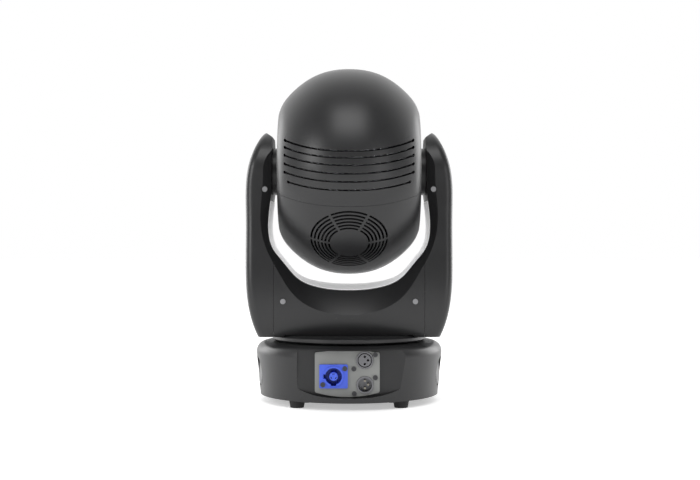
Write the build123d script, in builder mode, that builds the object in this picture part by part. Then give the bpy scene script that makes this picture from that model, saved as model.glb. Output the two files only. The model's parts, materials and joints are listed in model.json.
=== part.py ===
from build123d import *
import os
from math import cos, radians, sin, sqrt

# Moving head light: a round base, a yoke that pans on it, and a head that tilts in the yoke.
# Millimetres. The origin is where the pan axis meets the surface that the feet stand on.
# +Z is up, +X is to the right seen from the connector side, and the connectors face -Y.

# ---------------------------------------------------------------- driving dimensions
WALL = 2.5                      # moulded covers
SEAM = 0.3                      # shadow gap between two covers

FOOT_HEIGHT = 8.0
BASE_RADIUS = 107.5             # widest ring of the base
BASE_LOW_RADIUS = 103.0         # at the bottom edge
BASE_TOP = 69.0
BASE_SHOULDER_Z = 55.0          # where the rounded shoulder begins
BASE_RIM_RADIUS = 94.0          # where the shoulder meets the flat top

PANEL_Y = 88.0                  # floor of the rear recess, behind the pan axis
PANEL_THICK = 3.0
DISPLAY_Y = 92.0                # floor of the front recess

TURNTABLE_RADIUS = 89.0
TURNTABLE_Z = 70.5
TURNTABLE_TOP = 78.0

SHAFT_RADIUS = 15.0
SHAFT_BORE = 10.0
RUNNING_GAP = 0.05              # radial clearance of a shaft in its bearing
BELT_GAP = 0.3                  # clearance between a belt and its pulleys
BELT_THICK = 1.4

TILT_Z = 265.0                  # height of the tilt axis
TILT_REST = 21.5                # elevation of the beam as modelled, degrees
ARM_INNER = 88.0                # inner faces of the arms
YOKE_BOTTOM = 76.0
ARM_TOP_RADIUS = 46.0           # round top of each arm, seen from the side
YOKE_DEPTH = 60.0               # half depth where the cover is deepest
YOKE_ROUNDING = 9.0
COVER_SEAM_X = 85.0             # upright seams between the side covers and the rest

HEAD_HALF_WIDTH = 80.5
HEAD_RADIUS = 119.0             # swing radius about the tilt axis
HEAD_FRONT = 107.2              # front of the bezel along the beam
BEZEL_START = 90.0              # where the covers end and the bezel begins
BEZEL_RADIUS = 54.0
BEZEL_TUBE = 74.0               # where the bezel's tube meets the chassis
LENS_RADIUS = 42.0
GRILLE_TILT = 45.0              # the fan grille faces this far below the horizontal

os.makedirs("parts", exist_ok=True)

# ---------------------------------------------------------------- shared planes and helpers
BEAM = Vector(0, cos(radians(TILT_REST)), sin(radians(TILT_REST)))
PIVOT = Vector(0, 0, TILT_Z)
side_plane = Plane(origin=PIVOT, x_dir=BEAM, z_dir=(1, 0, 0))     # x along the beam, y up
beam_plane = Plane(origin=PIVOT, x_dir=(-1, 0, 0), z_dir=BEAM)    # across the beam, y up
grille_dir = Vector(0, -cos(radians(GRILLE_TILT)), -sin(radians(GRILLE_TILT)))
grille_plane = Plane(origin=PIVOT, x_dir=(1, 0, 0), z_dir=grille_dir)
tilt_axis = Axis(PIVOT, (1, 0, 0))
beam_axis = Axis(PIVOT, BEAM)


def save(part, label):
    """Label one finished piece and write it as its own STEP."""
    part.label = label
    export_step(part, f"parts/{label}.step")


def lens(back, edge, apex, radius):
    """A lens on the beam, flat behind and domed in front."""
    sag = apex - edge
    sphere = (radius ** 2 + sag ** 2) / (2 * sag)
    middle = apex - sphere + sqrt(sphere ** 2 - (radius / 2) ** 2)
    with BuildPart() as glass:
        with BuildSketch(side_plane):
            with BuildLine():
                Polyline((apex, 0), (back, 0), (back, radius), (edge, radius))
                ThreePointArc((edge, radius), (middle, radius / 2), (apex, 0))
            make_face()
        revolve(axis=beam_axis)
    return glass.part


def ring(plane, outer, inner, height):
    """A plain tube or washer standing on a plane."""
    with BuildPart() as tube:
        with BuildSketch(plane):
            Circle(outer)
            if inner:
                Circle(inner, mode=Mode.SUBTRACT)
        extrude(amount=height)
    return tube.part


def belt(plane, big, small, distance, width):
    """A closed toothless belt round two pulleys, the small one along the plane's x axis."""
    with BuildPart() as loop:
        with BuildSketch(plane):
            for grow, mode in ((BELT_GAP + BELT_THICK, Mode.ADD), (BELT_GAP, Mode.SUBTRACT)):
                with BuildSketch(mode=Mode.PRIVATE) as outline:
                    Circle(big + grow)
                    with Locations((distance, 0)):
                        Circle(small + grow)
                    make_hull()
                add(outline.sketch, mode=mode)
        extrude(amount=width)
    return loop.part


# ================================================================ base
def base_form(inset):
    """The round outer form of the base, or the same form set in by a wall."""
    bottom = FOOT_HEIGHT - (1 if inset else 0)
    with BuildPart() as form:
        with BuildSketch(Plane.XZ):
            with BuildLine():
                low = (BASE_LOW_RADIUS - inset, bottom)
                wide = (BASE_RADIUS - inset, BASE_SHOULDER_Z)
                rim = (BASE_RIM_RADIUS - inset, BASE_TOP - inset)
                Line((0, bottom), low)
                flank = Line(low, wide)
                Spline(wide, rim, tangents=(flank % 1, (-1, 0)))
                Polyline(rim, (0, BASE_TOP - inset), (0, bottom))
            make_face()
        revolve(axis=Axis.Z)
    return form.part


def rear_recess(grow):
    """The flat-floored pocket for the connectors, with its smile-shaped lower lip."""
    with BuildPart() as pocket:
        with BuildSketch(Plane.XZ.offset(PANEL_Y - grow)):
            with BuildLine():
                Line((-57 - grow, 65 + grow), (-57 - grow, 23 - grow))
                Spline((-57 - grow, 23 - grow), (0, 13 - grow), (60, 24 - grow), (82 + grow, 50),
                       tangents=((1, -0.5), (0.25, 1)))
                Polyline((82 + grow, 50), (78 + grow, 65 + grow), (-57 - grow, 65 + grow))
            make_face()
        extrude(amount=60)
    return pocket.part


def front_recess(grow):
    """The flat-floored pocket for the display."""
    with BuildPart() as pocket:
        with BuildSketch(Plane.XZ.offset(-DISPLAY_Y + grow)):
            with Locations((0, 37)):
                RectangleRounded(92 + 2 * grow, 42 + 2 * grow, 5 + grow)
        extrude(amount=-40)
    return pocket.part


VENT_ANGLE = 10.0               # the side vents face this far towards the rear
VENT_Z = 34.0
VENT_RADIUS = 18.0
vent_planes = [
    Plane(
        origin=(0, 0, VENT_Z),
        x_dir=(sin(radians(VENT_ANGLE)) * side, cos(radians(VENT_ANGLE)), 0),
        z_dir=(cos(radians(VENT_ANGLE)) * side, -sin(radians(VENT_ANGLE)), 0),
    )
    for side in (-1, 1)
]
VENT_FACE = 103.6               # outer face of a vent grille, from the pan axis
VENT_THICK = 2.2

base_cavity = base_form(WALL) - rear_recess(WALL) - front_recess(WALL)
for vent in vent_planes:
    base_cavity -= ring(vent.offset(VENT_FACE - VENT_THICK - WALL), VENT_RADIUS + WALL, 0, 20)

HUB_RADIUS = 26.0
with BuildPart() as base_housing:
    add(base_form(0))
    add(rear_recess(0), mode=Mode.SUBTRACT)
    add(front_recess(0), mode=Mode.SUBTRACT)
    for vent in vent_planes:
        with BuildSketch(vent.offset(VENT_FACE - VENT_THICK)):
            Circle(VENT_RADIUS + 0.3)
        extrude(amount=20, mode=Mode.SUBTRACT)
    add(base_cavity, mode=Mode.SUBTRACT)
    for vent in vent_planes:
        with BuildSketch(vent.offset(VENT_FACE - 12)):
            Circle(VENT_RADIUS - 2)
        extrude(amount=20, mode=Mode.SUBTRACT)
    with BuildSketch(Plane.XZ.offset(PANEL_Y - 8)):          # window behind the connectors
        with Locations((-2, 40.2)):
            RectangleRounded(64, 47, 3)
    extrude(amount=20, mode=Mode.SUBTRACT)
    with BuildSketch(Plane.XZ.offset(-DISPLAY_Y - 4)):       # window behind the display
        with Locations((0, 37)):
            RectangleRounded(80, 30, 3)
    extrude(amount=20, mode=Mode.SUBTRACT)
    with BuildSketch(Plane.XY.offset(BASE_TOP)):             # way through for the pan shaft
        Circle(SHAFT_RADIUS + 8)
    extrude(amount=-20, mode=Mode.SUBTRACT)
save(base_housing.part, "base_housing")

# ---------------------------------------------------------------- bottom plate, feet and screws
PLATE_RADIUS = BASE_LOW_RADIUS - WALL - 0.4
PLATE_THICK = 2.0
PLATE_TOP = FOOT_HEIGHT + PLATE_THICK
FOOT_X, FOOT_Y = 57.6, 72.0
CLAMP_PCD = 120.0               # bolt circle for a clamp bracket
CLAMP_HOLE = 3.3
PLATE_SCREW_PCD = 186.0
foot_spots = [(FOOT_X * i, FOOT_Y * j) for i in (-1, 1) for j in (-1, 1)]

with BuildPart() as bottom_plate:
    with BuildSketch(Plane.XY.offset(FOOT_HEIGHT)):
        Circle(PLATE_RADIUS)
        with PolarLocations(CLAMP_PCD / 2, 4, start_angle=45):
            Circle(CLAMP_HOLE, mode=Mode.SUBTRACT)
        with PolarLocations(PLATE_SCREW_PCD / 2, 6, start_angle=0):
            Circle(1.7, mode=Mode.SUBTRACT)
        with Locations(*foot_spots):
            Circle(2.2, mode=Mode.SUBTRACT)
        for j in (-1, 1):                                     # cooling slots
            with Locations(*[(14 * i, 38 * j) for i in range(-2, 3)]):
                SlotOverall(26, 4, rotation=90, mode=Mode.SUBTRACT)
    extrude(amount=PLATE_THICK)
save(bottom_plate.part, "bottom_plate")

with BuildPart() as rubber_feet:
    for x, y in foot_spots:
        with BuildSketch(Plane.XY) as sole:
            with Locations((x, y)):
                Circle(7.5)
        with BuildSketch(Plane.XY.offset(FOOT_HEIGHT)) as top:
            with Locations((x, y)):
                Circle(9)
        loft()
        with Locations((x, y, 0)):
            Cylinder(3.2, 3, align=(Align.CENTER, Align.CENTER, Align.MIN), mode=Mode.SUBTRACT)
save(rubber_feet.part, "rubber_feet")

with BuildPart() as bottom_screws:
    with BuildSketch(Plane.XY.offset(FOOT_HEIGHT - 1.6)):
        with PolarLocations(PLATE_SCREW_PCD / 2, 6):
            Circle(3)
    extrude(amount=1.6)
    with BuildSketch(Plane.XY.offset(FOOT_HEIGHT)):
        with PolarLocations(PLATE_SCREW_PCD / 2, 6):
            Circle(1.5)
    extrude(amount=9)
save(bottom_screws.part, "bottom_screws")

# ---------------------------------------------------------------- connector panel
INLET_X, INLET_Z = -17.0, 36.5
OUTPUT_X, OUTPUT_Z = 17.2, 54.0
INPUT_X, INPUT_Z = 17.4, 27.0
SOCKET_RADIUS = 9.4
panel_face = Plane.XZ.offset(PANEL_Y + PANEL_THICK)          # outer face of the panel
screw_spots = [(-4.7, 45.0), (-28.8, 27.5), (5.2, 44.6), (28.6, 60.0), (28.7, 35.0), (5.6, 17.5)]

with BuildPart() as connector_panel:
    with BuildSketch(Plane.XZ.offset(PANEL_Y)):
        with BuildLine():
            Line((-37.5, 62.5), (-37.5, 19))
            ThreePointArc((-37.5, 19), (-2, 13.8), (33.5, 19))
            Line((33.5, 19), (33.5, 62.5))
            ThreePointArc((33.5, 62.5), (-2, 64.6), (-37.5, 62.5))
        make_face()
    extrude(amount=PANEL_THICK)
    fillet(connector_panel.edges().filter_by(Axis.Y), 2.5)
    with BuildSketch(Plane.XZ.offset(PANEL_Y)):
        with Locations((INLET_X, INLET_Z)):
            Circle(11.6)
        with Locations((OUTPUT_X, OUTPUT_Z), (INPUT_X, INPUT_Z)):
            Circle(SOCKET_RADIUS + 0.2)
        with Locations(*screw_spots):
            Circle(1.6)
    extrude(amount=PANEL_THICK, mode=Mode.SUBTRACT)
save(connector_panel.part, "connector_panel")

INLET_WIDTH, INLET_HEIGHT = 31.0, 26.0
with BuildPart() as power_inlet:
    with BuildSketch(panel_face):                            # flange on the panel
        with Locations((INLET_X, INLET_Z)):
            RectangleRounded(INLET_WIDTH, INLET_HEIGHT, 1.5)
    extrude(amount=2.2)
    with BuildSketch(panel_face.offset(2.2)):                # raised collar
        with Locations((INLET_X, INLET_Z)):
            Circle(11.2)
    extrude(amount=1.2)
    with BuildSketch(panel_face):                            # body behind the panel
        with Locations((INLET_X, INLET_Z)):
            Circle(11.2)
    extrude(amount=-26)
    with BuildSketch(panel_face.offset(3.4)):                # ring-shaped socket round the core
        with Locations((INLET_X, INLET_Z)):
            Circle(9.2)
            Circle(4.6, mode=Mode.SUBTRACT)
        with Locations((INLET_X - 9.0, INLET_Z)):
            Rectangle(4, 5)
        with Locations((INLET_X, INLET_Z - 9.0)):
            Rectangle(6, 3)
    extrude(amount=-20, mode=Mode.SUBTRACT)
    with BuildSketch(panel_face.offset(3.4)):                # three blade slots in the core
        with Locations((INLET_X, INLET_Z)):
            with PolarLocations(2.8, 3, start_angle=90):
                Rectangle(0.9, 2.6)
    extrude(amount=-14, mode=Mode.SUBTRACT)
    with BuildSketch(panel_face):
        with Locations(*screw_spots[:2]):
            Circle(1.6)
    extrude(amount=2.2, mode=Mode.SUBTRACT)
save(power_inlet.part, "power_inlet")

with BuildPart() as data_output:                             # socket with three holes
    with BuildSketch(panel_face):
        with Locations((OUTPUT_X, OUTPUT_Z)):
            Circle(SOCKET_RADIUS)
    extrude(amount=1.4)
    with BuildSketch(panel_face):
        with Locations((OUTPUT_X, OUTPUT_Z)):
            Circle(SOCKET_RADIUS)
    extrude(amount=-22)
    with BuildSketch(panel_face.offset(1.4)):
        with Locations((OUTPUT_X, OUTPUT_Z)):
            Circle(7.9)
            Circle(6.9, mode=Mode.SUBTRACT)
    extrude(amount=-12, mode=Mode.SUBTRACT)
    with BuildSketch(panel_face.offset(1.4)):
        with Locations((OUTPUT_X, OUTPUT_Z)):
            with Locations((0, 4), (3.5, 0), (0, -4)):
                Circle(1.3)
    extrude(amount=-15, mode=Mode.SUBTRACT)
save(data_output.part, "data_output")

with BuildPart() as data_input:                              # cup with three pins inside
    with BuildSketch(panel_face):
        with Locations((INPUT_X, INPUT_Z)):
            Circle(SOCKET_RADIUS)
    extrude(amount=1.4)
    with BuildSketch(panel_face):
        with Locations((INPUT_X, INPUT_Z)):
            Circle(SOCKET_RADIUS)
    extrude(amount=-22)
    with BuildSketch(panel_face.offset(1.4)):
        with Locations((INPUT_X, INPUT_Z)):
            Circle(7.7)
    extrude(amount=-14, mode=Mode.SUBTRACT)
save(data_input.part, "data_input")

with BuildPart() as contacts:                                # input pins and inlet blades
    with BuildSketch(panel_face.offset(-12.6)):
        with Locations((INPUT_X, INPUT_Z)):
            with Locations((0, 4), (3.5, 0), (0, -4)):
                Circle(1.2)
    extrude(amount=9.5)
    with BuildSketch(panel_face.offset(-10.6)):
        with Locations((INLET_X, INLET_Z)):
            with PolarLocations(2.8, 3, start_angle=90):
                Rectangle(0.8, 2.4)
    extrude(amount=8)
save(contacts.part, "contacts")

with BuildPart() as panel_screws:
    for index, (x, z) in enumerate(screw_spots):
        seat = panel_face.offset(2.2 if index < 2 else 0)
        with BuildSketch(seat):
            with Locations((x, z)):
                Circle(2.7)
        extrude(amount=1.3)
        with BuildSketch(seat):
            with Locations((x, z)):
                Circle(1.4)
        extrude(amount=-5 if index < 2 else -PANEL_THICK)
        with BuildSketch(seat.offset(1.3)):                  # cross recess
            with Locations((x, z)):
                Rectangle(3.2, 0.7)
                Rectangle(0.7, 3.2)
        extrude(amount=-0.8, mode=Mode.SUBTRACT)
save(panel_screws.part, "panel_screws")

# ---------------------------------------------------------------- side vents
with BuildPart() as side_vents:
    for vent in vent_planes:
        with BuildSketch(vent.offset(VENT_FACE - VENT_THICK)):
            Circle(VENT_RADIUS)
            for radius in (5.5, 8.7, 11.9, 15.1):
                Circle(radius + 0.85, mode=Mode.SUBTRACT)
                Circle(radius - 0.85)
            with PolarLocations(0, 3):
                Rectangle(2 * VENT_RADIUS - 3, 2.2)
        extrude(amount=VENT_THICK)
save(side_vents.part, "side_vents")

# ---------------------------------------------------------------- display and menu buttons
display_face = Plane.XZ.offset(-DISPLAY_Y - 2.5)             # outer face, its normal is -Y
BUTTON_RADIUS = 4.0
BUTTON_TRAVEL = 1.2
button_spots = {"menu": (20, 43), "up": (33, 43), "down": (33, 31), "enter": (20, 31)}
SCREEN_X, SCREEN_Z, SCREEN_WIDTH, SCREEN_HEIGHT = -16, 37, 44, 24

with BuildPart() as display_panel:
    with BuildSketch(Plane.XZ.offset(-DISPLAY_Y)):
        with Locations((0, 37)):
            RectangleRounded(91, 41, 4.5)
        with Locations((SCREEN_X, SCREEN_Z)):
            Rectangle(SCREEN_WIDTH, SCREEN_HEIGHT, mode=Mode.SUBTRACT)
        with Locations(*button_spots.values()):
            Circle(BUTTON_RADIUS + 0.3, mode=Mode.SUBTRACT)
    extrude(amount=-2.5)
save(display_panel.part, "display_panel")

with BuildPart() as display_screen:
    with BuildSketch(display_face.offset(0.6)):
        with Locations((SCREEN_X, SCREEN_Z)):
            Rectangle(SCREEN_WIDTH, SCREEN_HEIGHT)
    extrude(amount=5)
save(display_screen.part, "display_screen")

for name, (x, z) in button_spots.items():
    with BuildPart() as button:
        with BuildSketch(display_face.offset(-1.5)):         # cap stands 1.5 proud
            with Locations((x, z)):
                Circle(BUTTON_RADIUS)
        extrude(amount=4)
        with BuildSketch(display_face.offset(2.8)):          # flange keeps it in the panel
            with Locations((x, z)):
                Circle(BUTTON_RADIUS + 1)
        extrude(amount=1)
        with BuildSketch(display_face.offset(2.5)):
            with Locations((x, z)):
                Circle(BUTTON_RADIUS)
        extrude(amount=0.5)
    save(button.part, f"button_{name}")

with BuildPart() as display_board:
    with Locations((0, DISPLAY_Y - 6.2, 37)):
        Box(76, 1.6, 27)
    with Locations(*[(x, DISPLAY_Y - 4.7, z) for x, z in button_spots.values()]):
        Box(4, 1.4, 4)                                       # one switch behind each button
save(display_board.part, "display_board")

# ---------------------------------------------------------------- base internals
FLANGE_RADIUS = 40.0
BEARING_OUTER = 21.0
bearing_levels = (45.0, 57.0)
BEARING_HEIGHT = 7.0
HUB_BOTTOM = 44.0
HOUSING_TOP_INSIDE = BASE_TOP - WALL

with BuildPart() as bearing_hub:
    with BuildSketch(Plane.XY.offset(HUB_BOTTOM)):
        Circle(HUB_RADIUS)
        Circle(BEARING_OUTER, mode=Mode.SUBTRACT)
    extrude(amount=HOUSING_TOP_INSIDE - HUB_BOTTOM)
    with BuildSketch(Plane.XY.offset(HOUSING_TOP_INSIDE)):
        Circle(FLANGE_RADIUS)
        Circle(BEARING_OUTER, mode=Mode.SUBTRACT)
        with PolarLocations(33, 6):
            Circle(2.2, mode=Mode.SUBTRACT)
    extrude(amount=-3)
save(bearing_hub.part, "bearing_hub")

with BuildPart() as pan_bearings:
    for level in bearing_levels:
        with BuildSketch(Plane.XY.offset(level)):
            Circle(BEARING_OUTER)
            Circle(SHAFT_RADIUS + RUNNING_GAP, mode=Mode.SUBTRACT)
        extrude(amount=BEARING_HEIGHT)
save(pan_bearings.part, "pan_bearings")

PAN_BELT_Z = 29.0
PAN_PULLEY_RADIUS = 40.0
MOTOR_PULLEY_RADIUS = 8.0
PULLEY_HEIGHT = 8.0
PAN_MOTOR_Y = 58.0
MOTOR_SIDE = 42.3
with BuildPart() as pan_motor:
    with Locations((0, PAN_MOTOR_Y, 51)):
        Box(MOTOR_SIDE, MOTOR_SIDE, 24)
    chamfer(pan_motor.edges().filter_by(Axis.Z), 4)
    with Locations((0, PAN_MOTOR_Y, 38)):
        Cylinder(11, 2)
    with Locations((0, PAN_MOTOR_Y, 33)):
        Cylinder(2.5, 14)
save(pan_motor.part, "pan_motor")

with BuildPart() as pan_motor_pulley:
    with BuildSketch(Plane.XY.offset(PAN_BELT_Z)):
        with Locations((0, PAN_MOTOR_Y)):
            Circle(MOTOR_PULLEY_RADIUS)
            Circle(2.5 + RUNNING_GAP, mode=Mode.SUBTRACT)
            with PolarLocations(MOTOR_PULLEY_RADIUS, 20):    # tooth gaps
                Circle(0.6, mode=Mode.SUBTRACT)
    extrude(amount=PULLEY_HEIGHT - 0.6)
save(pan_motor_pulley.part, "pan_motor_pulley")

pan_belt_plane = Plane(origin=(0, 0, PAN_BELT_Z + 1), x_dir=(0, 1, 0), z_dir=(0, 0, 1))
save(belt(pan_belt_plane, PAN_PULLEY_RADIUS, MOTOR_PULLEY_RADIUS, PAN_MOTOR_Y, 6), "pan_belt")

with BuildPart() as power_supply:
    with Locations((-65, 0, PLATE_TOP + 16)):
        Box(34, 92, 32)
    for j in range(-3, 4):                                   # cooling slots in its cover
        with Locations((-65, 11 * j, PLATE_TOP + 32)):
            Box(22, 4, 3, mode=Mode.SUBTRACT)
save(power_supply.part, "power_supply")

with BuildPart() as control_board:
    with Locations((65, 0, PLATE_TOP + 7)):
        Box(34, 88, 1.6)
    with Locations((60, 18, PLATE_TOP + 9.2), (62, -20, PLATE_TOP + 9.2)):
        Box(12, 12, 3)
    with Locations((76, -30, PLATE_TOP + 12), (76, -10, PLATE_TOP + 12), (76, 10, PLATE_TOP + 12)):
        Box(6, 14, 9)
    with GridLocations(26, 76, 2, 2):
        with Locations((65, 0, PLATE_TOP + 3.1)):
            Cylinder(2.5, 6.2)
save(control_board.part, "control_board")

# ================================================================ yoke
with BuildPart() as turntable:
    with BuildSketch(Plane.XZ):
        with BuildLine():
            edge = TURNTABLE_RADIUS
            Polyline((0, TURNTABLE_Z), (edge - 1.5, TURNTABLE_Z), (edge, TURNTABLE_Z + 1.5))
            Line((edge, TURNTABLE_Z + 1.5), (edge, TURNTABLE_Z + 4.5))
            Spline((edge, TURNTABLE_Z + 4.5), (edge - 12, TURNTABLE_TOP),
                   tangents=((0, 1), (-1, 0)), tangent_scalars=(0.5, 0.8))
            Polyline((edge - 12, TURNTABLE_TOP), (0, TURNTABLE_TOP), (0, TURNTABLE_Z))
        make_face()
    revolve(axis=Axis.Z)
    with BuildSketch(Plane.XY.offset(TURNTABLE_TOP)):
        Circle(SHAFT_RADIUS)
    extrude(amount=-20, mode=Mode.SUBTRACT)
save(turntable.part, "turntable")

SHAFT_BOTTOM = 24.0
FRAME_THICK = 3.0
FRAME_TOP = TURNTABLE_TOP + FRAME_THICK
with BuildPart() as pan_shaft:                               # hollow, the cables pass through it
    with BuildSketch(Plane.XY.offset(SHAFT_BOTTOM)):
        Circle(SHAFT_RADIUS)
    extrude(amount=FRAME_TOP + 2.5 - SHAFT_BOTTOM)
    with BuildSketch(Plane.XY.offset(FRAME_TOP)):
        Circle(24)
    extrude(amount=2.5)
    with BuildSketch(Plane.XY.offset(SHAFT_BOTTOM)):
        Circle(SHAFT_BORE)
    extrude(amount=80, mode=Mode.SUBTRACT)
save(pan_shaft.part, "pan_shaft")

with BuildPart() as pan_pulley:
    with BuildSketch(Plane.XY.offset(PAN_BELT_Z)):
        Circle(PAN_PULLEY_RADIUS)
        Circle(SHAFT_RADIUS, mode=Mode.SUBTRACT)
        with PolarLocations(27.5, 6):
            Circle(7, mode=Mode.SUBTRACT)
    extrude(amount=PULLEY_HEIGHT)
save(pan_pulley.part, "pan_pulley")



# ---------------------------------------------------------------- yoke covers
# Lines of the right half, from the arm down to the middle: the rim of the space for the head,
# the crest of its floor between the two rims, and the crease where the covers are deepest.
rim_line = [(ARM_INNER, 246), (87.3, 176), (75.5, 160.6), (57, 139.5), (33.5, 129.6), (0, 126.2)]
crest_line = [(ARM_INNER, 246), (87.5, 178), (77, 163), (58, 144.5), (34, 136.5), (0, 134)]
crease_line = [(119, 246), (96, 176), (80, 148), (60, 120), (34, 103), (0, 97)]
saddle_line = [(101.5, 246), (92, 178), (78, 148), (59.5, 120), (34, 103.5), (0, 97.5)]
RIM_DEPTH = 40.0                # half depth at the rim
ABOVE_ARMS = 350.0


def spread(points, amount, centre=(0, 200)):
    """Move points away from a centre by a wall thickness."""
    moved = []
    for x, z in points:
        reach = sqrt((x - centre[0]) ** 2 + (z - centre[1]) ** 2)
        moved.append((x + (x - centre[0]) * amount / reach, z + (z - centre[1]) * amount / reach))
    return moved


SCOOP_DEPTH = YOKE_DEPTH - RIM_DEPTH
OVERRUN = 3.0                   # the scoop's cut starts this far inside the rim


def scoop_line(beyond_rim):
    """The scoop's line at a depth beyond the rim, straight from the rim to the crease."""
    share = beyond_rim / SCOOP_DEPTH
    return [(x0 + (x1 - x0) * share, z0 + (z1 - z0) * share)
            for (x0, z0), (x1, z1) in zip(rim_line, crease_line)]


def u_outline(points, y):
    """A U-shaped outline in an upright plane, closed above the arms."""
    with BuildSketch(Plane.XZ.offset(-y)) as outline:
        with BuildLine():
            Spline(points, tangents=((0, -1), (-1, 0)), tangent_scalars=(0.6, 1))
            corner = (points[0][0], ABOVE_ARMS)
            Line(points[0], corner)
            Line(corner, (0, ABOVE_ARMS))
            Line((0, ABOVE_ARMS), points[-1])
        make_face()
        mirror(about=Plane.YZ)
    return outline.sketch


def yoke_block(inset):
    """The yoke's outer silhouette and depth, before the space for the head is cut out."""
    bottom = YOKE_BOTTOM - (2 if inset else 0)
    top_radius = ARM_TOP_RADIUS - inset
    with BuildPart() as block:
        with BuildSketch(Plane.XZ):
            with BuildLine():
                Spline((103 - inset, bottom), (112.2 - inset, 104), (116.8 - inset, 160),
                       (117.2 - inset, 212), (114.8 - inset, 269), (98 - inset, 311),
                       (88 - inset, 328))
                Polyline((88 - inset, 328), (0, 328), (0, bottom), (103 - inset, bottom))
            make_face()
            mirror(about=Plane.YZ)
        extrude(amount=80, both=True)
        with BuildSketch(Plane.YZ):
            with BuildLine():
                foot = (50 - inset, bottom)
                Line((0, bottom), foot)
                Spline(foot, (YOKE_DEPTH - inset - 3, 102), (top_radius, TILT_Z),
                       tangents=((0.6, 1), (0, 1)))
                RadiusArc((top_radius, TILT_Z), (0, TILT_Z + top_radius), -top_radius)
                Line((0, TILT_Z + top_radius), (0, bottom))
            make_face()
            mirror(about=Plane.YZ)
        extrude(amount=150, both=True, mode=Mode.INTERSECT)
        corners = []
        for edge in block.edges():
            extent = edge.bounding_box()
            outside = min(abs(extent.min.X), abs(extent.max.X)) > 80
            if outside and extent.max.Z > bottom + 1 and abs(edge.center().Y) > 1:
                corners.append(edge)
        fillet(corners, YOKE_ROUNDING - inset)
    return block.part


def yoke_form(inset):
    """The whole yoke as one solid, or the same form set in by a wall."""
    with BuildPart() as form:
        add(yoke_block(inset))
        with BuildPart(mode=Mode.PRIVATE) as head_space:
            for y, line in ((-RIM_DEPTH - 3, rim_line), (0, crest_line), (RIM_DEPTH + 3, rim_line)):
                add(u_outline(spread(line, inset), y))
            loft()
        add(head_space.part, mode=Mode.SUBTRACT)
        with BuildPart(mode=Mode.PRIVATE) as scoop:
            add(u_outline(spread(scoop_line(-OVERRUN), inset), inset + OVERRUN - RIM_DEPTH))
            add(u_outline(spread(scoop_line(SCOOP_DEPTH + 1), inset), inset - YOKE_DEPTH - 1))
            loft(ruled=True)
            mirror(about=Plane.XZ)
        add(scoop.part, mode=Mode.SUBTRACT)
        with BuildPart(mode=Mode.PRIVATE) as tips:           # arm tips slope down towards the head
            low = 1.3 * inset
            with BuildSketch(Plane.XZ):
                Polygon((84, 300.7 - low), (98, 311.3 - low), (98, 340), (84, 340), align=None)
                mirror(about=Plane.YZ)
            extrude(amount=100, both=True)
        add(tips.part, mode=Mode.SUBTRACT)
    return form.part


SCREW_RADIUS = 3.0
# The four cover screws of one face: place, and how far their seats are from the yoke's middle.
yoke_screws_at = [(95.5, 243.0, 43.6), (74.2, 116.6, 58.4)]
BOSS_RADIUS = 27.3
BOSS_FACE = 81.9
AXLE_HOLE = 14.0

yoke_shell = yoke_form(0) - yoke_form(WALL)
with BuildPart() as saddle_prism:
    with BuildSketch(Plane.XZ):
        with BuildLine():
            Spline(saddle_line, tangents=((0, -1), (-1, 0)))
            top = saddle_line[0][0]
            Polyline(saddle_line[0], (top, ABOVE_ARMS), (0, ABOVE_ARMS), saddle_line[-1])
        make_face()
        mirror(about=Plane.YZ)
    extrude(amount=80, both=True)

with BuildPart() as screw_wells:
    for side in (-1, 1):
        for face in (-1, 1):
            for x, z, seat in yoke_screws_at:
                plane = Plane(origin=(side * x, face * seat, z), z_dir=(0, face, 0))
                with BuildSketch(plane):
                    Circle(SCREW_RADIUS + 0.9)
                extrude(amount=20)
                with BuildSketch(plane):
                    Circle(1.7)
                extrude(amount=-8)

with BuildPart() as saddle_cover:                            # between the arms
    add(yoke_shell & saddle_prism.part)
    add(screw_wells.part, mode=Mode.SUBTRACT)
    for side in (-1, 1):                                     # boss round each tilt axle
        with BuildSketch(Plane(origin=(side * BOSS_FACE, 0, TILT_Z), z_dir=(side, 0, 0))):
            Circle(BOSS_RADIUS)
            Circle(AXLE_HOLE, mode=Mode.SUBTRACT)
        extrude(amount=ARM_INNER + 1 - BOSS_FACE)
        with BuildSketch(Plane(origin=(side * (BOSS_FACE - 1), 0, TILT_Z), z_dir=(side, 0, 0))):
            Circle(AXLE_HOLE)
        extrude(amount=14, mode=Mode.SUBTRACT)
save(saddle_cover.part, "saddle_cover")

clear_turntable = ring(Plane.XY.offset(60), TURNTABLE_RADIUS + 0.4, 0, TURNTABLE_TOP + 0.3 - 60)
outer_covers = yoke_shell - saddle_prism.part - screw_wells.part - clear_turntable
cover_boxes = {
    "side_cover_left": (-150, -COVER_SEAM_X, -80, 80),
    "side_cover_right": (COVER_SEAM_X, 150, -80, 80),
    "rear_cover": (-COVER_SEAM_X + SEAM, COVER_SEAM_X - SEAM, -80, 0),
    "front_cover": (-COVER_SEAM_X + SEAM, COVER_SEAM_X - SEAM, 0, 80),
}
for name, (x0, x1, y0, y1) in cover_boxes.items():
    with BuildPart() as cover:
        add(outer_covers)
        with Locations(((x0 + x1) / 2, (y0 + y1) / 2, 200)):
            Box(x1 - x0, y1 - y0, 400, mode=Mode.INTERSECT)
    save(cover.part, name)

with BuildPart() as yoke_screws:
    for side in (-1, 1):
        for face in (-1, 1):
            for x, z, seat in yoke_screws_at:
                plane = Plane(origin=(side * x, face * seat, z), z_dir=(0, face, 0))
                with BuildSketch(plane):
                    Circle(SCREW_RADIUS)
                extrude(amount=1.6)
                with BuildSketch(plane):
                    Circle(1.5)
                extrude(amount=-9)
save(yoke_screws.part, "yoke_screws")

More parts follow.
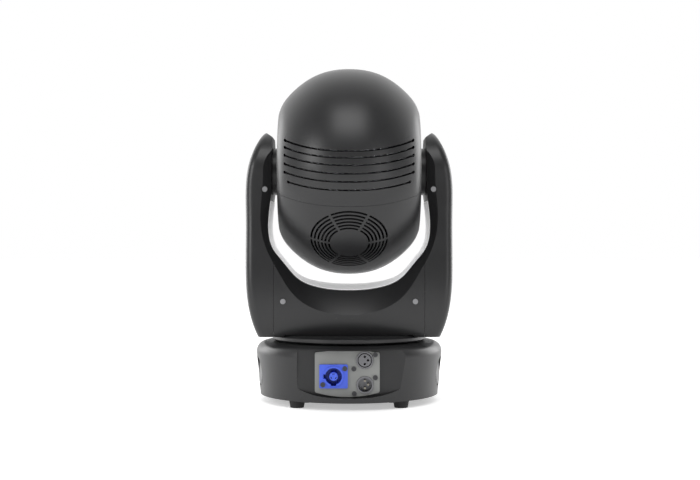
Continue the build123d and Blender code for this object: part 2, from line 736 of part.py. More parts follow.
# ---------------------------------------------------------------- yoke frame and tilt drive
UPRIGHT_X = 97.0                # inner face of the upright plates
TILT_BEARING_OUTER = 18.5
AXLE_RADIUS = 12.5
TILT_MOTOR_Z = 104.0
TILT_PULLEY_RADIUS = 20.0
TILT_MOTOR_PULLEY = 6.4
TILT_DRIVE_X = 101.0

with BuildPart() as yoke_frame:
    with Locations((0, 0, TURNTABLE_TOP + FRAME_THICK / 2)):
        Box(2 * (UPRIGHT_X + FRAME_THICK), 72, FRAME_THICK)
    for side in (-1, 1):
        inner = Plane(origin=(side * UPRIGHT_X, 0, TILT_Z), x_dir=(0, side, 0), z_dir=(side, 0, 0))
        with BuildSketch(inner):
            Circle(27)
            with Locations((0, (TURNTABLE_TOP - TILT_Z) / 2)):
                Rectangle(54, TILT_Z - TURNTABLE_TOP)
        extrude(amount=FRAME_THICK)
        with BuildSketch(inner.offset(-4)):
            Circle(TILT_BEARING_OUTER + 3.5)
        extrude(amount=4)
        with BuildSketch(inner.offset(-4)):
            Circle(TILT_BEARING_OUTER)
        extrude(amount=10, mode=Mode.SUBTRACT)
        with BuildSketch(inner):                             # lightening holes and motor opening
            with Locations((0, -50), (0, -85), (0, -118)):
                Circle(12)
            with Locations((0, TILT_MOTOR_Z - TILT_Z)):
                Circle(11.3)
        extrude(amount=10, mode=Mode.SUBTRACT)
    with BuildSketch(Plane.XY.offset(TURNTABLE_TOP)):
        Circle(SHAFT_RADIUS)
        with Locations(*[(24 * i, 22 * j) for i in (-2, 2) for j in (-1, 1)]):
            Circle(7)
    extrude(amount=FRAME_THICK, mode=Mode.SUBTRACT)
save(yoke_frame.part, "yoke_frame")

with BuildPart() as tilt_bearings:
    for side in (-1, 1):
        start = Plane(origin=(side * (UPRIGHT_X - 4), 0, TILT_Z), z_dir=(side, 0, 0))
        with BuildSketch(start):
            Circle(TILT_BEARING_OUTER)
            Circle(AXLE_RADIUS + RUNNING_GAP, mode=Mode.SUBTRACT)
        extrude(amount=7)
save(tilt_bearings.part, "tilt_bearings")

with BuildPart() as tilt_motor:
    with Locations((UPRIGHT_X - 17, 0, TILT_MOTOR_Z)):
        Box(34, MOTOR_SIDE, MOTOR_SIDE)
    chamfer(tilt_motor.edges().filter_by(Axis.X), 4)
    with BuildSketch(Plane(origin=(UPRIGHT_X, 0, TILT_MOTOR_Z), z_dir=(1, 0, 0))):
        Circle(11)
    extrude(amount=2)
    with BuildSketch(Plane(origin=(UPRIGHT_X, 0, TILT_MOTOR_Z), z_dir=(1, 0, 0))):
        Circle(2.5)
    extrude(amount=10)
save(tilt_motor.part, "tilt_motor")

drive_plane = Plane(origin=(TILT_DRIVE_X, 0, TILT_Z), x_dir=(0, 0, -1), z_dir=(1, 0, 0))
drop = TILT_Z - TILT_MOTOR_Z
with BuildPart() as tilt_motor_pulley:
    with BuildSketch(drive_plane):
        with Locations((drop, 0)):
            Circle(TILT_MOTOR_PULLEY)
            Circle(2.5 + RUNNING_GAP, mode=Mode.SUBTRACT)
            with PolarLocations(TILT_MOTOR_PULLEY, 16):
                Circle(0.6, mode=Mode.SUBTRACT)
    extrude(amount=5.5)
save(tilt_motor_pulley.part, "tilt_motor_pulley")

with BuildPart() as tilt_pulley:
    with BuildSketch(drive_plane):
        Circle(TILT_PULLEY_RADIUS)
        Circle(AXLE_RADIUS, mode=Mode.SUBTRACT)
        with PolarLocations(TILT_PULLEY_RADIUS, 50):
            Circle(0.6, mode=Mode.SUBTRACT)
    extrude(amount=5.5)
save(tilt_pulley.part, "tilt_pulley")
save(belt(drive_plane.offset(0.75), TILT_PULLEY_RADIUS, TILT_MOTOR_PULLEY, drop, 4), "tilt_belt")

# ================================================================ head
def head_form(inset):
    """A drum turned about the tilt axis, tapered in front about the beam."""
    half = HEAD_HALF_WIDTH - inset
    with BuildPart() as drum:
        with BuildSketch(Plane.XZ):
            with BuildLine():
                Spline((0, TILT_Z + HEAD_RADIUS - inset), (36 - inset * 0.3, TILT_Z + 112.5 - inset),
                       (59 - inset * 0.6, TILT_Z + 98.3 - inset * 0.85),
                       (73 - inset * 0.75, TILT_Z + 84.2 - inset * 0.7),
                       (half, TILT_Z + 70 - inset * 0.3), tangents=((1, 0), (0.35, -1)))
                Polyline((half, TILT_Z + 70 - inset * 0.3), (half, TILT_Z), (0, TILT_Z),
                         (0, TILT_Z + HEAD_RADIUS - inset))
            make_face()
            mirror(about=Plane.YZ)
        revolve(axis=tilt_axis)
        with BuildSketch(side_plane):
            with BuildLine():
                front = HEAD_FRONT - inset
                Polyline((-130, 0), (-130, 140 - inset), (20, 140 - inset), (44 - inset, 111.5 - inset))
                Spline((44 - inset, 111.5 - inset), (92 - inset, 68 - inset),
                       (front, BEZEL_RADIUS - inset), tangents=((0.93, -0.6), (0.3, -1)))
                Polyline((front, BEZEL_RADIUS - inset), (front, 0), (-130, 0))
            make_face()
        revolve(axis=beam_axis, mode=Mode.INTERSECT)
    return drum.part


SIDE_DISC_RADIUS = 36.0
SIDE_DISC_FACE = 81.3
slot_heights = (18.0, 27.0, 35.5, 44.0, 51.5, 58.0)
slot_half_lengths = (66.5, 70.5, 70.5, 70.5, 70.5, 70.5)
side_screws = [(u, h) for u in (-50, 50) for h in (-16, 16)]

with BuildPart() as head_shell:
    add(head_form(0))
    for side in (-1, 1):
        with BuildSketch(Plane(origin=(side * (HEAD_HALF_WIDTH - 1), 0, TILT_Z), z_dir=(side, 0, 0))):
            Circle(SIDE_DISC_RADIUS)
        extrude(amount=SIDE_DISC_FACE - HEAD_HALF_WIDTH + 1)
    add(head_form(WALL), mode=Mode.SUBTRACT)
    with BuildSketch(side_plane):                            # ways out for the axles
        Circle(AXLE_RADIUS + 0.2)
    extrude(amount=100, both=True, mode=Mode.SUBTRACT)
    for side in (-1, 1):                                     # seats of the side screws
        outer = Plane(origin=PIVOT + Vector(side * HEAD_HALF_WIDTH, 0, 0), x_dir=BEAM, z_dir=(1, 0, 0))
        with BuildSketch(outer):
            with Locations(*side_screws):
                Circle(2.9)
        extrude(amount=-1.2 * side, mode=Mode.SUBTRACT)
        with BuildSketch(outer):
            with Locations(*side_screws):
                Circle(1.5)
        extrude(amount=-6 * side, mode=Mode.SUBTRACT)


def half_space(from_u, to_u, from_h, to_h):
    """A block between two distances along the beam and two heights above the tilt axis."""
    with BuildPart() as block:
        with BuildSketch(side_plane):
            with Locations(((from_u + to_u) / 2, (from_h + to_h) / 2)):
                Rectangle(to_u - from_u, to_h - from_h)
        extrude(amount=120, both=True)
    return block.part


with BuildPart() as head_top_cover:
    add(head_shell.part)
    add(half_space(-140, BEZEL_START - SEAM, SEAM / 2, 140), mode=Mode.INTERSECT)
    for height, reach in zip(slot_heights, slot_half_lengths):
        with BuildSketch(beam_plane.offset(-130)):
            with Locations((0, height)):
                Rectangle(2 * reach, 1.8)
            with Locations((-reach, height), (reach, height)):
                Circle(1.6)
        extrude(amount=76, mode=Mode.SUBTRACT)
save(head_top_cover.part, "head_top_cover")

GRILLE_HUB = 21.3
GRILLE_RINGS = 6
GRILLE_PITCH = 3.9
with BuildPart() as head_bottom_cover:
    add(head_shell.part)
    add(half_space(-140, BEZEL_START - SEAM, -140, -SEAM / 2), mode=Mode.INTERSECT)
    with BuildSketch(grille_plane.offset(90)):
        for index in range(GRILLE_RINGS):
            inner = GRILLE_HUB + index * GRILLE_PITCH
            with BuildSketch(mode=Mode.PRIVATE) as slot_ring:
                Circle(inner + 2.1)
                Circle(inner, mode=Mode.SUBTRACT)
                with PolarLocations(0, 3):
                    Rectangle(100, 3, mode=Mode.SUBTRACT)
            add(slot_ring.sketch)
    extrude(amount=40, mode=Mode.SUBTRACT)
save(head_bottom_cover.part, "head_bottom_cover")

with BuildPart() as front_bezel:
    add(head_shell.part)
    add(half_space(BEZEL_START, 140, -140, 140), mode=Mode.INTERSECT)
    with BuildSketch(beam_plane.offset(BEZEL_TUBE)):
        Circle(LENS_RADIUS + 3)
    extrude(amount=HEAD_FRONT - BEZEL_TUBE)
    with BuildSketch(beam_plane.offset(BEZEL_TUBE)):
        Circle(LENS_RADIUS)
    extrude(amount=HEAD_FRONT - 2.8 - BEZEL_TUBE, mode=Mode.SUBTRACT)
    with BuildSketch(beam_plane.offset(BEZEL_TUBE)):
        Circle(LENS_RADIUS - 2)
    extrude(amount=60, mode=Mode.SUBTRACT)
save(front_bezel.part, "front_bezel")

save(lens(94, 97, 103.6, LENS_RADIUS), "front_lens")

with BuildPart() as head_screws:
    for side in (-1, 1):
        outer = Plane(origin=PIVOT + Vector(side * HEAD_HALF_WIDTH, 0, 0), x_dir=BEAM, z_dir=(1, 0, 0))
        with BuildSketch(outer):
            with Locations(*side_screws):
                Circle(2.8)
        extrude(amount=-1.2 * side)
        with BuildSketch(outer):
            with Locations(*side_screws):
                Circle(1.4)
        extrude(amount=-8 * side)
save(head_screws.part, "head_screws")

# ---------------------------------------------------------------- chassis and axles
CHASSIS_X = 72.0                # outer faces of the chassis side plates
LIGHT_WALL = -20.0              # bulkhead that carries the light engine
WHEEL_WALL = 20.0               # bulkhead in front of the wheels
FRONT_RING = 72.0
ROD_X = 50.0
ROD_RADIUS = 2.0
with BuildPart() as chassis:
    for side in (-1, 1):
        outer = Plane(origin=PIVOT + Vector(side * CHASSIS_X, 0, 0), x_dir=BEAM, z_dir=(1, 0, 0))
        with BuildSketch(outer):
            with BuildLine():
                Polyline((-45, 36), (50, 36), (FRONT_RING + 2, 20), (FRONT_RING + 2, -20),
                         (50, -36), (-45, -36), close=True)
            make_face()
            Circle(9, mode=Mode.SUBTRACT)
        extrude(amount=-2 * side)
    for level, opening in ((LIGHT_WALL, 14), (WHEEL_WALL, 18)):
        with BuildSketch(beam_plane.offset(level)):
            Rectangle(2 * CHASSIS_X - 4, 68)
            Circle(opening, mode=Mode.SUBTRACT)
        extrude(amount=2)
    with BuildSketch(beam_plane.offset(LIGHT_WALL + 2)):     # collar that holds the condenser
        Circle(20)
        Circle(17.5, mode=Mode.SUBTRACT)
    extrude(amount=16)
    with BuildSketch(beam_plane.offset(FRONT_RING)):         # front ring, behind the bezel
        Rectangle(2 * CHASSIS_X - 4, 30)
        Circle(LENS_RADIUS + 12)
        Circle(LENS_RADIUS, mode=Mode.SUBTRACT)
    extrude(amount=2)
    with BuildSketch(beam_plane.offset(WHEEL_WALL + 2)):     # rods that the focus carriage slides on
        with Locations((-ROD_X, 0), (ROD_X, 0)):
            Circle(ROD_RADIUS)
    extrude(amount=FRONT_RING - WHEEL_WALL - 2)
save(chassis.part, "chassis")

with BuildPart() as tilt_axles:                              # hollow, the cables pass through them
    for side, end in ((-1, 101.0), (1, TILT_DRIVE_X + 5.5)):
        root_plane = Plane(origin=(side * CHASSIS_X, 0, TILT_Z), z_dir=(side, 0, 0))
        with BuildSketch(root_plane):
            Circle(20)
        extrude(amount=3)
        with BuildSketch(root_plane):
            Circle(AXLE_RADIUS)
        extrude(amount=end - CHASSIS_X)
        with BuildSketch(root_plane):
            Circle(9)
        extrude(amount=40, mode=Mode.SUBTRACT)
save(tilt_axles.part, "tilt_axles")

# ---------------------------------------------------------------- light engine and cooling
with BuildPart() as heat_sink:
    with BuildSketch(beam_plane.offset(LIGHT_WALL - 6)):
        with Locations((0, 12)):
            Rectangle(84, 84)
    extrude(amount=6)
    with BuildSketch(beam_plane.offset(LIGHT_WALL - 6)):
        with Locations(*[(7 * i, 12) for i in range(-6, 7)]):
            Rectangle(1.8, 84)
    extrude(amount=-36)
save(heat_sink.part, "heat_sink")

with BuildPart() as light_engine:
    with BuildSketch(beam_plane.offset(LIGHT_WALL)):
        Circle(13.5)
    extrude(amount=2)
    with BuildSketch(beam_plane.offset(LIGHT_WALL + 2)):
        Circle(5)
    extrude(amount=1.2)
save(light_engine.part, "light_engine")

save(lens(-12, -10, -3, 17.5), "condenser_lens")

FAN_FACE = 99.0
FAN_THICK = 20.0
with BuildPart() as fan_frame:
    with BuildSketch(grille_plane.offset(FAN_FACE - FAN_THICK)):
        RectangleRounded(80, 80, 4)
        Circle(38, mode=Mode.SUBTRACT)
    extrude(amount=FAN_THICK)
    with BuildSketch(grille_plane.offset(FAN_FACE - FAN_THICK)):
        Circle(19)
        with PolarLocations(28, 4):
            Rectangle(20, 4)
    extrude(amount=2.5)
    with BuildSketch(grille_plane.offset(FAN_FACE - FAN_THICK)):
        Circle(4)
    extrude(amount=12)
save(fan_frame.part, "fan_frame")

with BuildPart() as fan_rotor:
    with BuildSketch(grille_plane.offset(FAN_FACE - FAN_THICK + 3)):
        Circle(19)
    extrude(amount=15)
    for index in range(7):
        hub = grille_plane.offset(FAN_FACE - FAN_THICK + 11)
        spoke = hub.x_dir.rotate(Axis((0, 0, 0), hub.z_dir), index * 360 / 7)
        pitched = hub.z_dir.rotate(Axis((0, 0, 0), spoke), 40)
        with BuildSketch(Plane(origin=hub.origin, x_dir=spoke, z_dir=pitched).offset(-0.8)):
            with Locations((27, 0)):
                Rectangle(19, 15)
        extrude(amount=1.6)
    with BuildSketch(grille_plane.offset(FAN_FACE - FAN_THICK + 3)):
        Circle(4 + RUNNING_GAP)
    extrude(amount=10, mode=Mode.SUBTRACT)
save(fan_rotor.part, "fan_rotor")

# ---------------------------------------------------------------- effects
WHEEL_OFFSET = 34.0             # wheel centres above and below the beam
WHEEL_RADIUS = 44.0
COLOUR_U, GOBO_U = 6.0, 11.0
for name, level, centre, openings, radius in (
        ("colour_wheel", COLOUR_U, WHEEL_OFFSET, 8, 9.0),
        ("gobo_wheel", GOBO_U, -WHEEL_OFFSET, 7, 8.0)):
    with BuildPart() as wheel:
        with BuildSketch(beam_plane.offset(level)):
            with Locations((0, centre)):
                Circle(WHEEL_RADIUS)
                Circle(1.5 + RUNNING_GAP, mode=Mode.SUBTRACT)
                with PolarLocations(WHEEL_OFFSET, openings, start_angle=90):
                    Circle(radius, mode=Mode.SUBTRACT)
        extrude(amount=1.5)
        if name == "gobo_wheel":                             # a pattern disc fills each opening
            with BuildSketch(beam_plane.offset(level + 0.4)):
                with Locations((0, centre)):
                    with PolarLocations(WHEEL_OFFSET, openings, start_angle=90):
                        Circle(radius + 0.5)
                        Circle(3, mode=Mode.SUBTRACT)
            extrude(amount=0.6)
    save(wheel.part, name)

with BuildPart() as colour_filters:                          # dichroic glass, one opening stays clear
    with BuildSketch(beam_plane.offset(COLOUR_U + 0.2)):
        with Locations((0, WHEEL_OFFSET)):
            with PolarLocations(WHEEL_OFFSET, 7, start_angle=-45, angular_range=315):
                Circle(9.0)
    extrude(amount=1.1)
save(colour_filters.part, "colour_filters")

PRISM_PIVOT = (42.0, -16.0)     # X and height of the arm's pivot
PRISM_PARKED = (12.5, -50.0)    # X and height of the prism when it is out of the beam
FOCUS_MOTOR = (-38.0, 24.0)
PRISM_U = 29.0
# Each motor: X and height of its axis, where its body starts, its length, its radius, shaft end.
motors = [
    (0.0, WHEEL_OFFSET, LIGHT_WALL + 2, 20.0, 10.0, COLOUR_U + 1.5),
    (0.0, -WHEEL_OFFSET, LIGHT_WALL + 2, 24.0, 10.0, GOBO_U + 1.5),
    (*PRISM_PIVOT, WHEEL_WALL + 2, 6.0, 8.0, PRISM_U + 3),
    (*FOCUS_MOTOR, WHEEL_WALL + 2, 12.0, 8.0, FRONT_RING),
]
with BuildPart() as effect_motors:
    for x, height, start, length, radius, shaft_end in motors:
        with BuildSketch(beam_plane.offset(start)):
            with Locations((-x, height)):
                Circle(radius)
        extrude(amount=length)
        with BuildSketch(beam_plane.offset(start)):
            with Locations((-x, height)):
                Circle(1.5)
        extrude(amount=shaft_end - start)
save(effect_motors.part, "effect_motors")

with BuildPart() as prism_arm:
    with BuildSketch(beam_plane.offset(PRISM_U)):
        with Locations((-PRISM_PIVOT[0], PRISM_PIVOT[1])):
            Circle(5)
        with Locations((-PRISM_PARKED[0], PRISM_PARKED[1])):
            Circle(13.5)
        make_hull()
        with Locations((-PRISM_PARKED[0], PRISM_PARKED[1])):
            Circle(11, mode=Mode.SUBTRACT)
        with Locations((-PRISM_PIVOT[0], PRISM_PIVOT[1])):
            Circle(1.5 + RUNNING_GAP, mode=Mode.SUBTRACT)
    extrude(amount=3)
save(prism_arm.part, "prism_arm")

with BuildPart() as prism:
    with BuildSketch(beam_plane.offset(PRISM_U)):
        with Locations((-PRISM_PARKED[0], PRISM_PARKED[1])):
            Circle(11)
    extrude(amount=2)
    with BuildSketch(beam_plane.offset(PRISM_U + 2)):        # three facets
        with Locations((-PRISM_PARKED[0], PRISM_PARKED[1])):
            RegularPolygon(9.5, 3)
    extrude(amount=4, taper=38)
save(prism.part, "prism")

FOCUS_U = 50.0                  # rear face of the carriage as modelled
FOCUS_LENS_RADIUS = 22.0
with BuildPart() as focus_carriage:
    with BuildSketch(beam_plane.offset(FOCUS_U)):
        Rectangle(2 * ROD_X + 10, 12)
        Circle(FOCUS_LENS_RADIUS + 4)
        with Locations((-FOCUS_MOTOR[0], FOCUS_MOTOR[1])):
            Circle(5)
        with Locations((-FOCUS_MOTOR[0] - 8, FOCUS_MOTOR[1] - 7)):
            Rectangle(20, 8, rotation=40)
        Circle(FOCUS_LENS_RADIUS, mode=Mode.SUBTRACT)
        with Locations((-ROD_X, 0), (ROD_X, 0)):
            Circle(ROD_RADIUS + RUNNING_GAP, mode=Mode.SUBTRACT)
        with Locations((-FOCUS_MOTOR[0], FOCUS_MOTOR[1])):
            Circle(1.5 + RUNNING_GAP, mode=Mode.SUBTRACT)
    extrude(amount=4)
save(focus_carriage.part, "focus_carriage")

save(lens(FOCUS_U + 0.5, FOCUS_U + 2.5, FOCUS_U + 6, FOCUS_LENS_RADIUS), "focus_lens")
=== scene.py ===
# %% [markdown]
# # Moving head light
#
# A stage light whose head tilts in a yoke, while the yoke pans on a round base. The frame gives
# every piece of it, at its real size and place. This lesson dresses those pieces: it sets up a
# plain studio and makes one finish after another, each from what the real material is.

# %% Load the frame
import json

import bpy
import numpy as np
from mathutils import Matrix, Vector


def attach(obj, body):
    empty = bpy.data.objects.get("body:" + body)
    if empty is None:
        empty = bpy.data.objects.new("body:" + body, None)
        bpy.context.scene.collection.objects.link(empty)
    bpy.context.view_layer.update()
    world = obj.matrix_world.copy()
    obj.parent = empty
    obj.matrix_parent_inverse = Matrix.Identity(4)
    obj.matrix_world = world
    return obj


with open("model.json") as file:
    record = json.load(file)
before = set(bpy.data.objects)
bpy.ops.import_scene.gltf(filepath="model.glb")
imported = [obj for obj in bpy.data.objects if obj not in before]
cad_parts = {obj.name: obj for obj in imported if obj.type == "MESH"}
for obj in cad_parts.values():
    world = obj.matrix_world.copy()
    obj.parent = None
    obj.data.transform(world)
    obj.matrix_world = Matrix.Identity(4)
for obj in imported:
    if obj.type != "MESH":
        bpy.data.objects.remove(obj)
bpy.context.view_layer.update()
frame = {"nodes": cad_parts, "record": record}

# %% [markdown]
# ## Camera
#
# The light is looked at from behind, level, from a little below its middle height. A long lens
# keeps the perspective calm. The lens is given by how wide the picture is at the object's
# distance, which is easier to judge than a focal length.

# %% Camera
SENSOR_MM = 36.0
CAMERA_SIDE = 0.001
CAMERA_DISTANCE = 1.425
CAMERA_HEIGHT = 0.1855
WIDTH_AT_OBJECT = 0.8176

camera_data = bpy.data.cameras.new("camera")
camera_data.sensor_width = SENSOR_MM
camera_data.lens = SENSOR_MM * CAMERA_DISTANCE / WIDTH_AT_OBJECT
camera = bpy.data.objects.new("camera", camera_data)
camera.location = (CAMERA_SIDE, -CAMERA_DISTANCE, CAMERA_HEIGHT)
camera.rotation_euler = Vector((0, 1, 0)).to_track_quat("-Z", "Y").to_euler()
bpy.context.collection.objects.link(camera)
bpy.context.scene.camera = camera
print("lens", round(camera_data.lens, 1), "mm")

# %% [markdown]
# ## Studio
#
# A black satin object shows its shape by what it reflects, so the lights are large squares: two
# on the camera's side, one overhead, and two behind the object that catch its edges.

# %% Studio
LIGHT_TARGET = Vector((0, 0, 0.2))
# name: place in metres, side in metres, power in watts
SOFTBOXES = {
    "key": ((-1.5, -1.2, 0.75), 0.8, 11),
    "fill": ((1.4, -1.5, 0.5), 0.9, 4),
    "left edge": ((-1.3, 0.9, 0.5), 0.9, 8),
    "right edge": ((1.3, 0.9, 0.5), 0.9, 8),
    "overhead": ((0, -1.0, 1.6), 0.9, 9),
}

scene = bpy.context.scene
scene.view_settings.view_transform = "Standard"
world = bpy.data.worlds.new("white sweep")
scene.world = world
world.use_nodes = True


def soft_light(name, place, size, power):
    """A square softbox at a place, turned to the middle of the object."""
    light = bpy.data.lights.new(name, "AREA")
    light.size = size
    light.energy = power
    holder = bpy.data.objects.new(name, light)
    holder.location = place
    aim = LIGHT_TARGET - Vector(place)
    holder.rotation_euler = aim.to_track_quat("-Z", "Y").to_euler()
    bpy.context.collection.objects.link(holder)


for light_name, (place, size, power) in SOFTBOXES.items():
    soft_light(light_name, place, size, power)
print("lights", list(SOFTBOXES))

# %% [markdown]
# ## Helpers for materials
#
# Colours are easiest to give as sRGB codes, but shaders work in linear light, so one helper
# converts them. The other makes a node with its settings, values and links in one call.


# %% Helpers for materials
def linear(code):
    """An sRGB hex colour as linear red, green and blue, with alpha 1, by the standard's curve."""
    parts = np.array([int(code[i:i + 2], 16) for i in (1, 3, 5)]) / 255
    bright = np.where(parts <= 0.04045, parts / 12.92, ((parts + 0.055) / 1.055) ** 2.4)
    return (*[float(v) for v in bright], 1.0)


def add_node(tree, kind, settings=None, values=None, links=None):
    """One node with its settings, its input values and its incoming links."""
    made = tree.nodes.new(kind)
    for key, value in (settings or {}).items():
        setattr(made, key, value)
    for key, value in (values or {}).items():
        made.inputs[key].default_value = value
    for key, source in (links or {}).items():
        tree.links.new(source, made.inputs[key])
    return made


print("mid grey in linear light", round(linear("#808080")[0], 3))

# %% [markdown]
# ## Sky
#
# A real studio puts a bright white sweep behind the object, which draws a pale line on every
# rounded edge, and keeps the camera's side of the room dim, so the faces stay dark. The sky does
# the same: it brightens from the camera's side to the far side. The camera itself sees it as
# plain white, through the light path's camera switch. Only the lighting has the slope.

# %% Sky
FRONT_LIGHT = 0.3
BACK_LIGHT = 1.25
SLOPE_FROM = -0.3
SLOPE_TO = 0.7
SEEN_LIGHT = 1.0

sky = world.node_tree
direction = add_node(sky, "ShaderNodeTexCoord").outputs["Generated"]
along = add_node(sky, "ShaderNodeSeparateXYZ", links={"Vector": direction}).outputs["Y"]
slope = add_node(sky, "ShaderNodeMapRange", settings={"interpolation_type": "SMOOTHSTEP"},
                 values={"From Min": SLOPE_FROM, "From Max": SLOPE_TO,
                         "To Min": FRONT_LIGHT, "To Max": BACK_LIGHT},
                 links={"Value": along})
seen = add_node(sky, "ShaderNodeLightPath").outputs["Is Camera Ray"]
strength = add_node(sky, "ShaderNodeMix", values={"B": SEEN_LIGHT},
                    links={"Factor": seen, "A": slope.outputs["Result"]})
sky.nodes["Background"].inputs["Color"].default_value = (1, 1, 1, 1)
sky.links.new(strength.outputs["Result"], sky.nodes["Background"].inputs["Strength"])
print("sky from", FRONT_LIGHT, "in front to", BACK_LIGHT, "behind")

# %% [markdown]
# ## Helpers for finishes
#
# No real surface is quite even. Each finish has a fine relief at the size of its grain, and
# broad patches, about 20 mm across, where its gloss and its colour drift a little.

# %% Helpers for finishes
RELIEF_STRENGTH = 0.35
FINE_DETAIL = 3.0
PATCHES_PER_METRE = 45
PATCH_DETAIL = 2.0


def start_material(name, **values):
    """A new material with a Principled shader, and the tree to build on."""
    material = bpy.data.materials.new(name)
    material.use_nodes = True
    tree = material.node_tree
    shader = tree.nodes["Principled BSDF"]
    for key, value in values.items():
        shader.inputs[key.replace("_", " ")].default_value = value
    return material, tree, shader


def grain(tree, shader, spacing_mm, height_mm, roughness, spread, lift=1.35):
    """Fine relief sized in millimetres, and patches of uneven gloss and of colour up to lift
    times as bright."""
    place = add_node(tree, "ShaderNodeTexCoord").outputs["Object"]
    fine = add_node(tree, "ShaderNodeTexNoise", links={"Vector": place},
                    values={"Scale": 1000 / spacing_mm, "Detail": FINE_DETAIL})
    relief = add_node(tree, "ShaderNodeBump", links={"Height": fine.outputs["Fac"]},
                      values={"Strength": RELIEF_STRENGTH, "Distance": height_mm / 1000})
    tree.links.new(relief.outputs["Normal"], shader.inputs["Normal"])
    patches = add_node(tree, "ShaderNodeTexNoise", links={"Vector": place},
                       values={"Scale": PATCHES_PER_METRE, "Detail": PATCH_DETAIL})
    gloss = add_node(tree, "ShaderNodeMapRange", links={"Value": patches.outputs["Fac"]},
                     values={"To Min": roughness - spread, "To Max": roughness + spread})
    tree.links.new(gloss.outputs["Result"], shader.inputs["Roughness"])
    base = shader.inputs["Base Color"].default_value
    tint = add_node(tree, "ShaderNodeMix", settings={"data_type": "RGBA"},
                    links={"Factor": patches.outputs["Fac"]})
    tint.inputs["A"].default_value = base
    tint.inputs["B"].default_value = (*[min(1.0, part * lift) for part in base[:3]], 1.0)
    tree.links.new(tint.outputs["Result"], shader.inputs["Base Color"])


def glow(shader, strength):
    """A little white light of its own."""
    shader.inputs["Emission Color"].default_value = (1, 1, 1, 1)
    shader.inputs["Emission Strength"].default_value = strength


materials = {}
print("patches about", round(1000 / PATCHES_PER_METRE), "mm across")

# %% [markdown]
# ## Moulded covers
#
# The covers are injection-moulded ABS, dyed black through. The mould is spark-eroded, so the skin
# has a fine even grain that breaks up reflections and leaves a satin gloss. The real grain is about
# a tenth of a millimetre across, too fine to show, so it is drawn at 0.6 mm.

# %% Spark-grained ABS
abs_black, tree, shader = start_material(
    "spark-grained black ABS", Base_Color=linear("#1c1c1d"), IOR=1.5)
grain(tree, shader, spacing_mm=0.6, height_mm=0.02, roughness=0.36, spread=0.03)
materials["moulded_black"] = abs_black
print("made", abs_black.name)

# %% [markdown]
# ## Painted, rubber and plated pieces
#
# Each of the other finishes is a variation of the same recipe: a base colour, a gloss and a grain
# of the right size. Powder coat is pebbly at about half a millimetre, rubber is dull and dusty,
# and zinc-plated steel has a cloudy sheen.

# %% Simple finishes
GLOSS_SPREAD = 0.04
# slot: name, colour, metallic, roughness, grain in mm, relief in mm
RECIPES = {
    "rubber_black": ("moulded nitrile rubber", "#151515", 0.0, 0.75, 0.8, 0.03),
    "plate_black": ("black powder coat", "#1b1b1c", 0.0, 0.5, 0.6, 0.05),
    "panel_grey": ("grey satin paint on steel", "#7b7c7a", 0.0, 0.45, 0.5, 0.015),
    "inlet_blue": ("blue glass-filled nylon", "#3c57c8", 0.0, 0.38, 0.7, 0.02),
    "socket_metal": ("black nickel", "#6d6d70", 0.7, 0.35, 0.6, 0.01),
    "contact_brass": ("nickel-flashed brass", "#77736a", 1.0, 0.25, 0.4, 0.005),
    "screw_steel": ("zinc-plated steel", "#8b8b8d", 1.0, 0.45, 0.4, 0.01),
    "screw_black": ("blackened steel", "#48484a", 0.9, 0.4, 0.4, 0.01),
    "button_black": ("silicone rubber", "#2b2b2c", 0.0, 0.6, 0.5, 0.02),
    "circuit_green": ("green solder mask", "#12502c", 0.0, 0.3, 0.8, 0.02),
    "bearing_steel": ("ground bearing steel", "#c9cacd", 1.0, 0.18, 0.3, 0.004),
    "frame_steel": ("zinc-plated sheet steel", "#b5b6b8", 1.0, 0.38, 1.2, 0.01),
    "aluminium_plain": ("die-cast aluminium", "#c4c5c8", 1.0, 0.45, 0.9, 0.02),
    "motor_black": ("black enamel", "#18181a", 0.0, 0.35, 0.6, 0.02),
    "belt_black": ("neoprene belt", "#161616", 0.0, 0.8, 0.7, 0.04),
    "led_yellow": ("phosphor", "#e8c84a", 0.0, 0.6, 0.3, 0.01),
}
for slot_name, (title, colour, metallic, rough, spacing, height) in RECIPES.items():
    made, tree, shader = start_material(title, Base_Color=linear(colour), Metallic=metallic)
    grain(tree, shader, spacing, height, rough, GLOSS_SPREAD)
    materials[slot_name] = made
print(len(RECIPES), "simple finishes")

# %% [markdown]
# ## Glass and clear plastic
#
# The lenses are ground glass with an anti-reflection coating, which leaves a faint blue cast. The
# wheel's filters are dichroic glass, and the display window is acrylic, tinted so dark that it is
# made opaque here. All are very smooth, so their only texture is the slight uneven gloss of dust
# and wiping.

# %% Glass and acrylic
# slot: name, colour, index of refraction, share of light let through, roughness
CLEAR = {
    "lens_glass": ("anti-reflection coated glass", "#e6eef5", 1.52, 1.0, 0.03),
    "filter_glass": ("dichroic glass", "#7b5ad0", 1.52, 0.8, 0.04),
    "display_glass": ("tinted acrylic window", "#0c1218", 1.49, 0.0, 0.1),
}
for slot_name, (title, colour, index, clearness, rough) in CLEAR.items():
    clear, tree, shader = start_material(title, Base_Color=linear(colour), IOR=index)
    shader.inputs["Transmission Weight"].default_value = clearness
    grain(tree, shader, spacing_mm=4.0, height_mm=0.001, roughness=rough, spread=0.02, lift=1.05)
    materials[slot_name] = clear
print(len(materials), "finishes so far")
